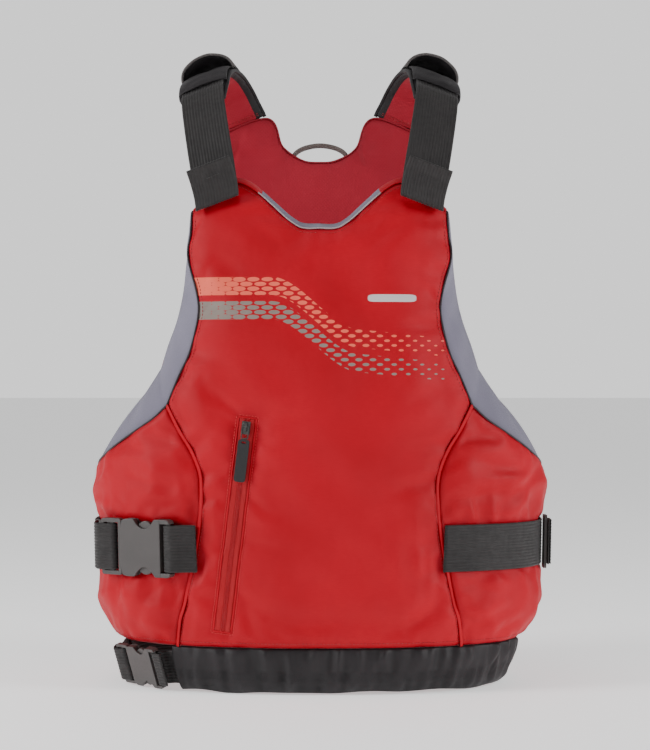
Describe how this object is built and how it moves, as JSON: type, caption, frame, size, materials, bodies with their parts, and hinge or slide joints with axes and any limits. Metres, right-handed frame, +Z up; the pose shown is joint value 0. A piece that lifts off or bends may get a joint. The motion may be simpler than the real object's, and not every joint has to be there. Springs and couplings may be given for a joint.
{
  "type": "life jacket",
  "caption": "Sleeveless foam-filled paddling life jacket with webbing shoulder straps, a side-release waist belt, a lower belt and a zipped chest pocket.",
  "frame": {"origin": "centre of the bounding box's footprint, on the level that the waistband stands on", "axes": "+X to the wearer's left, -Y the wearer's front, +Z up through the neck opening"},
  "size_m": [0.5143, 0.3061, 0.7166],
  "materials": {
    "shell_red": "matt woven polyester, coated on the inside",
    "lining_red": "matt woven nylon",
    "cloth_black": "matt woven nylon",
    "gusset_grey": "matt stretch knit",
    "foam": "closed-cell foam",
    "webbing": "ribbed polyester webbing",
    "plastic_grey": "moulded acetal, fine satin",
    "zip_red": "woven tape and nylon coil",
    "zip_metal": "black painted",
    "rubber_black": "soft matt rubber",
    "loop_taupe": "woven binding"
  },
  "bodies": {
    "jacket": {"front_center_cover": "shell_red", "front_center_foam": "foam", "front_center_lining": "lining_red", "front_right_wing_cover": "shell_red", "front_right_wing_foam": "foam", "front_right_wing_lining": "lining_red", "front_left_wing_cover": "shell_red", "front_left_wing_foam": "foam", "front_left_wing_lining": "lining_red", "right_armhole_gusset": "gusset_grey", "left_armhole_gusset": "gusset_grey", "front_neck_gusset": "gusset_grey", "back_cover": "shell_red", "back_foam": "foam", "back_lining": "lining_red", "right_back_gusset": "gusset_grey", "left_back_gusset": "gusset_grey", "back_neck_gusset": "lining_red", "zip_tape_right": "zip_red", "zip_tape_left": "zip_red", "zip_coil": "zip_red", "pocket_bag": "lining_red", "left_shoulder_cover": "cloth_black", "left_shoulder_foam": "foam", "left_shoulder_lining": "lining_red", "left_shoulder_sleeve": "cloth_black", "left_shoulder_hood": "cloth_black", "left_shoulder_strap": "webbing", "left_strap_anchor": "webbing", "right_shoulder_cover": "cloth_black", "right_shoulder_foam": "foam", "right_shoulder_lining": "lining_red", "right_shoulder_sleeve": "cloth_black", "right_shoulder_hood": "cloth_black", "right_shoulder_strap": "webbing", "right_strap_anchor": "webbing", "waist_buckle_female": "plastic_grey", "waist_webbing_front": "webbing", "waist_webbing_back": "webbing", "lower_buckle_female": "plastic_grey", "front_waistband": "cloth_black", "back_waistband": "cloth_black", "lower_webbing_body": "webbing"},
    "zip_slider_body": {"zip_slider": "zip_metal"},
    "zip_pull": {"zip_pull_link": "zip_metal", "zip_pull_tab": "rubber_black"},
    "waist_plug": {"waist_buckle_male": "plastic_grey", "waist_webbing_side": "webbing"},
    "waist_prong_upper": {"waist_buckle_prong_upper": "plastic_grey"},
    "waist_prong_lower": {"waist_buckle_prong_lower": "plastic_grey"},
    "lower_plug": {"lower_buckle_male": "plastic_grey", "lower_webbing_side": "webbing"},
    "lower_prong_upper": {"lower_buckle_prong_upper": "plastic_grey"},
    "lower_prong_lower": {"lower_buckle_prong_lower": "plastic_grey"},
    "haul_handle": {"haul_loop": "loop_taupe"},
    "side_adjust": {"side_adjuster": "plastic_grey", "side_adjuster_webbing": "webbing"}
  },
  "joints": [
    {"name": "zip_slide", "type": "slide", "parent": "jacket", "child": "zip_slider_body", "axis": [-0.1201, 0.0673, -0.9905], "range_m": [0, 0.205]},
    {"name": "zip_pull_swing", "type": "hinge", "parent": "zip_slider_body", "child": "zip_pull", "pos_m": [-0.07886, -0.15028, 0.29007], "axis": [-0.984, 0.1245, 0.1277], "range_deg": [0, 150]},
    {"name": "waist_buckle_release", "type": "slide", "parent": "jacket", "child": "waist_plug", "axis": [-0.8612, 0.5083, 0], "range_m": [0, 0.045]},
    {"name": "waist_prong_upper_squeeze", "type": "hinge", "parent": "waist_plug", "child": "waist_prong_upper", "pos_m": [-0.21567, -0.09481, 0.16827], "axis": [0.5078, 0.8605, 0.0408], "range_deg": [0, 6], "stiffness_Nm_per_rad": 0.5},
    {"name": "waist_prong_lower_squeeze", "type": "hinge", "parent": "waist_plug", "child": "waist_prong_lower", "pos_m": [-0.21522, -0.09403, 0.14628], "axis": [-0.5078, -0.8605, -0.0408], "range_deg": [0, 6], "stiffness_Nm_per_rad": 0.5},
    {"name": "lower_buckle_release", "type": "slide", "parent": "jacket", "child": "lower_plug", "axis": [-0.678, 0.7351, 0], "range_m": [0, 0.034]},
    {"name": "lower_prong_upper_squeeze", "type": "hinge", "parent": "lower_plug", "child": "lower_prong_upper", "pos_m": [-0.209, -0.06304, 0.032], "axis": [0.6973, 0.6431, 0.3166], "range_deg": [0, 6], "stiffness_Nm_per_rad": 0.5},
    {"name": "lower_prong_lower_squeeze", "type": "hinge", "parent": "lower_plug", "child": "lower_prong_lower", "pos_m": [-0.20518, -0.05951, 0.01639], "axis": [-0.6973, -0.6431, -0.3166], "range_deg": [0, 6], "stiffness_Nm_per_rad": 0.5},
    {"name": "haul_loop_swing", "type": "hinge", "parent": "jacket", "child": "haul_handle", "pos_m": [0, 0.1336, 0.6129], "axis": [-1, 0, 0], "range_deg": [0, 100], "stiffness_Nm_per_rad": 0.05},
    {"name": "side_adjuster_slide", "type": "slide", "parent": "jacket", "child": "side_adjust", "axis": [0, 1, 0.0019], "range_m": [-0.01, 0.01]}
  ],
  "couplings": [
    {"joint": "waist_prong_lower_squeeze", "follows": "waist_prong_upper_squeeze", "ratio": 1},
    {"joint": "lower_prong_lower_squeeze", "follows": "lower_prong_upper_squeeze", "ratio": 1}
  ]
}
